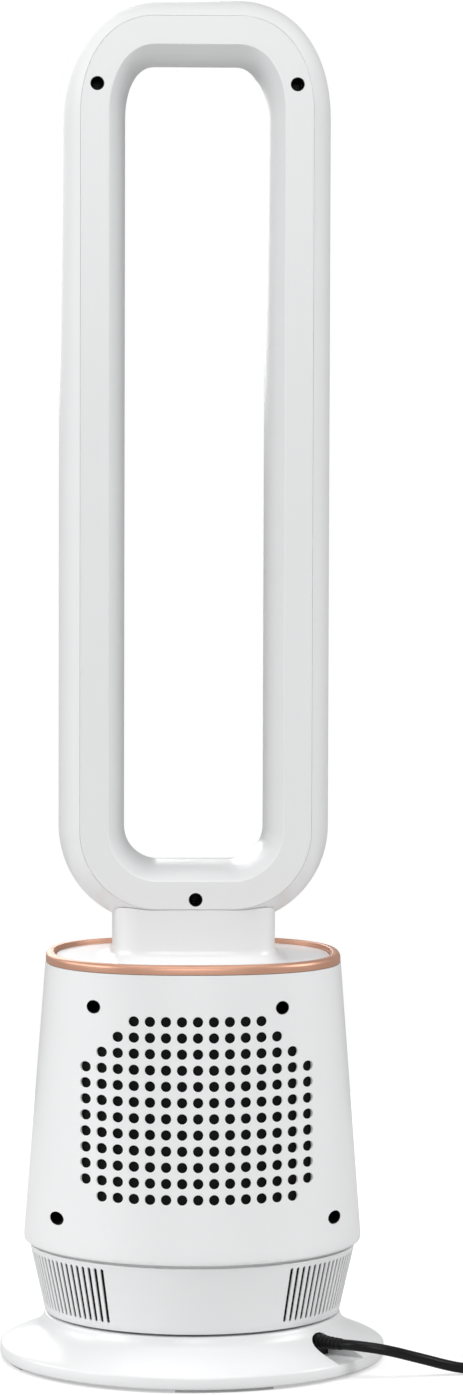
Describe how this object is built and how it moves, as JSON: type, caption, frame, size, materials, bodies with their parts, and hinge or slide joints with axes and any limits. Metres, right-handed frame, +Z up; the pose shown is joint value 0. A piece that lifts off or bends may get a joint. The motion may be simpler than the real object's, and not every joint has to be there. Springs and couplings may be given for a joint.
{
  "type": "bladeless tower fan",
  "caption": "Bladeless tower fan: a tall open air loop on a tapered perforated blower housing that swings from side to side on a round flared base, with mains cord.",
  "frame": {"origin": "on the floor under the centre of the round base", "axes": "+Z up along the swivel axis, -Y towards the front where the air leaves, +Y towards the perforated rear, +X to the left seen from the rear"},
  "size_m": [0.4284, 0.25, 0.8774],
  "materials": {
    "white_gloss": "smooth white moulding with a soft gloss",
    "copper_trim": "plated, pale rose-copper with a satin metallic shine",
    "black_plastic": "fine matt moulding",
    "black_cord": "smooth flexible cord jacket, slightly shiny",
    "black_filter": "thin open mesh",
    "rubber_grey": "matt",
    "steel": "bright zinc-plated",
    "iron": "dull grey",
    "nylon": "natural nylon",
    "grey_plastic": "plain moulding",
    "smoked_window": "polished dark window",
    "board_green": "circuit board",
    "brass": "turned brass"
  },
  "bodies": {
    "base": {"base_skirt": "white_gloss", "base_plate": "black_plastic", "ballast_weight": "iron", "foot_1": "rubber_grey", "foot_2": "rubber_grey", "foot_3": "rubber_grey", "foot_4": "rubber_grey", "base_screw_1": "steel", "base_screw_2": "steel", "base_screw_3": "steel", "base_screw_4": "steel", "thrust_ring": "nylon", "pivot_hub": "grey_plastic", "sun_gear": "nylon", "hub_nut": "steel", "cord_gland": "black_plastic", "cord_lead": "black_cord", "cord_coil": "black_cord", "cord_tail": "black_cord", "plug_body": "black_plastic", "plug_pin_1": "brass", "plug_pin_2": "brass"},
    "housing": {"louvre_ring": "white_gloss", "rear_shell": "white_gloss", "front_shell": "white_gloss", "top_deck": "white_gloss", "loop_rear_cover": "white_gloss", "loop_front_shell": "white_gloss", "trim_ring": "copper_trim", "dust_filter": "black_filter", "isolator_ring": "rubber_grey", "body_screw_1": "steel", "body_screw_2": "steel", "body_screw_3": "steel", "body_screw_4": "steel", "loop_screw_1": "steel", "loop_screw_2": "steel", "loop_screw_3": "steel", "swing_motor": "steel", "motor_can": "steel", "motor_end_plate": "steel", "bearing_lower": "steel", "bearing_upper": "steel", "motor_core": "iron", "pivot_bush": "nylon", "turntable": "grey_plastic", "chassis": "grey_plastic", "motor_bucket": "grey_plastic", "diffuser_duct": "grey_plastic", "guide_vanes": "grey_plastic", "display_window": "smoked_window", "control_board": "board_green", "power_board": "board_green"},
    "impeller": {"impeller": "nylon", "impeller_nut": "brass", "motor_shaft": "steel", "motor_rotor": "iron"},
    "pinion": {"pinion": "brass"},
    "button": {"power_button": "copper_trim"}
  },
  "joints": [
    {"name": "swivel", "type": "hinge", "parent": "base", "child": "housing", "pos_m": [0, 0, 0.03], "axis": [0, 0, 1], "range_deg": [-40, 40]},
    {"name": "impeller_spin", "type": "hinge", "parent": "housing", "child": "impeller", "pos_m": [0, 0, 0.15], "axis": [0, 0, 1], "continuous": true},
    {"name": "pinion_spin", "type": "hinge", "parent": "housing", "child": "pinion", "pos_m": [0, -0.0402, 0.042], "axis": [0, 0, 1], "range_deg": [-125, 125]},
    {"name": "power_button", "type": "slide", "parent": "housing", "child": "button", "axis": [0, 1, 0], "range_m": [0, 0.0012], "stiffness_N_per_m": 1200, "springref_m": -0.0006}
  ],
  "couplings": [
    {"joint": "pinion_spin", "follows": "swivel", "ratio": 3}
  ]
}
